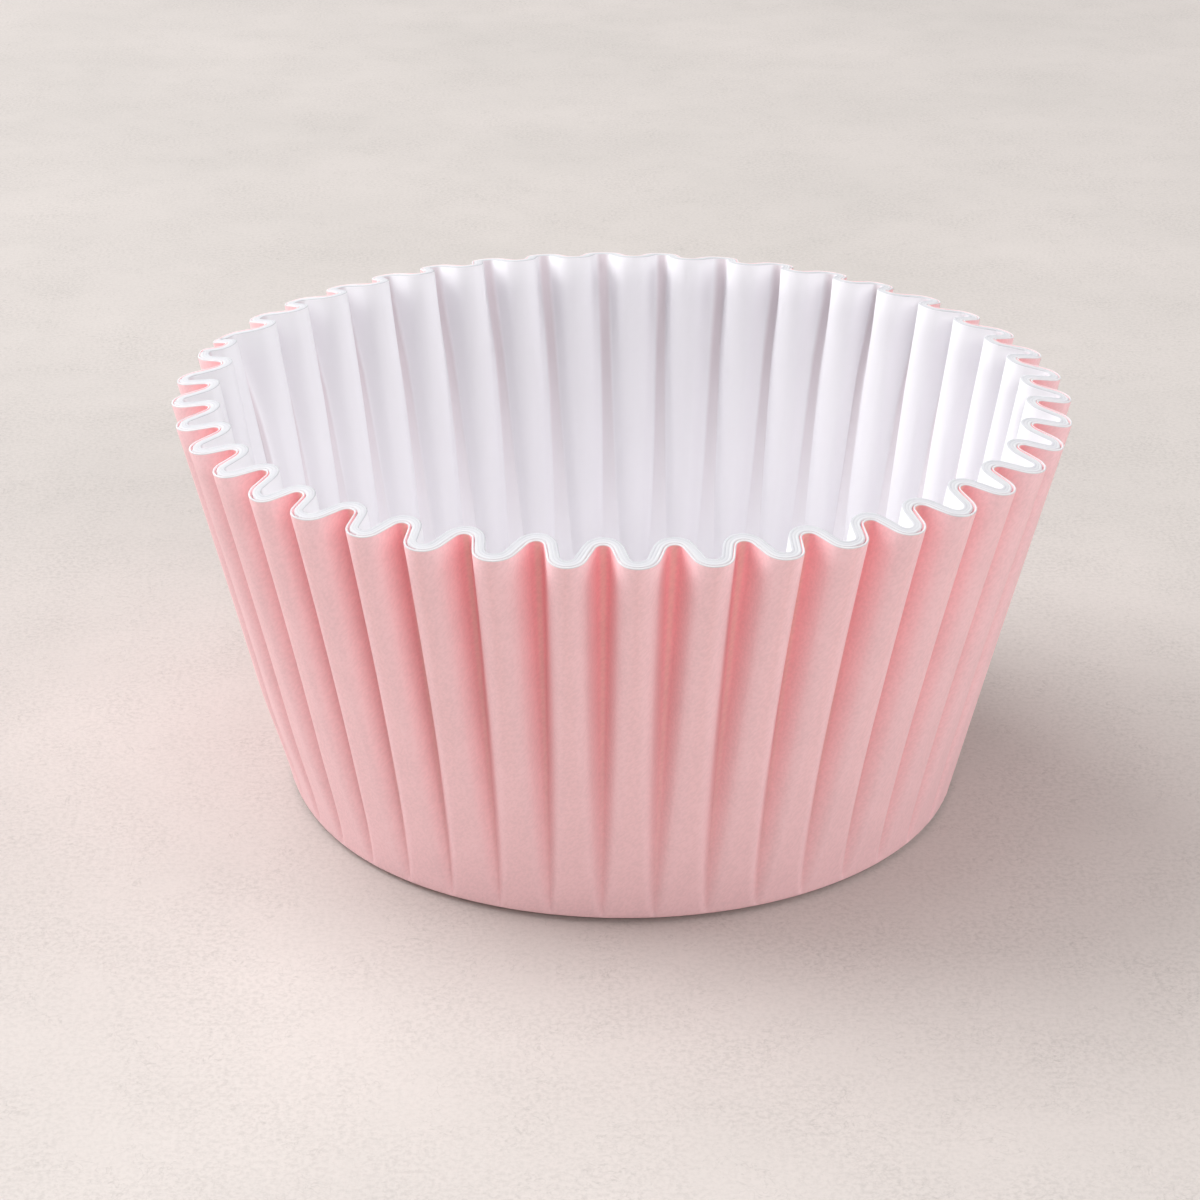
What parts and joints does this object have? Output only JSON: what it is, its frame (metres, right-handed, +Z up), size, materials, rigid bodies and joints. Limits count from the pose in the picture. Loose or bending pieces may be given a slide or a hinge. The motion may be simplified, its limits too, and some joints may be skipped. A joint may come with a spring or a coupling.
{
  "type": "paper candy cup",
  "caption": "Small round paper cup for a single sweet, with a flat base and a leaning fluted wall; pink outside and white inside.",
  "frame": {"origin": "middle of the base's underside", "axes": "+Z up along the cup's axis, out of its mouth; -Y through the middle of one flute's crest"},
  "size_m": [0.041, 0.0412, 0.0193],
  "materials": {
    "paper": "matt pink paper outside, white inside and on the cut rim"
  },
  "bodies": {
    "root": {"cup": "paper"}
  },
  "joints": []
}
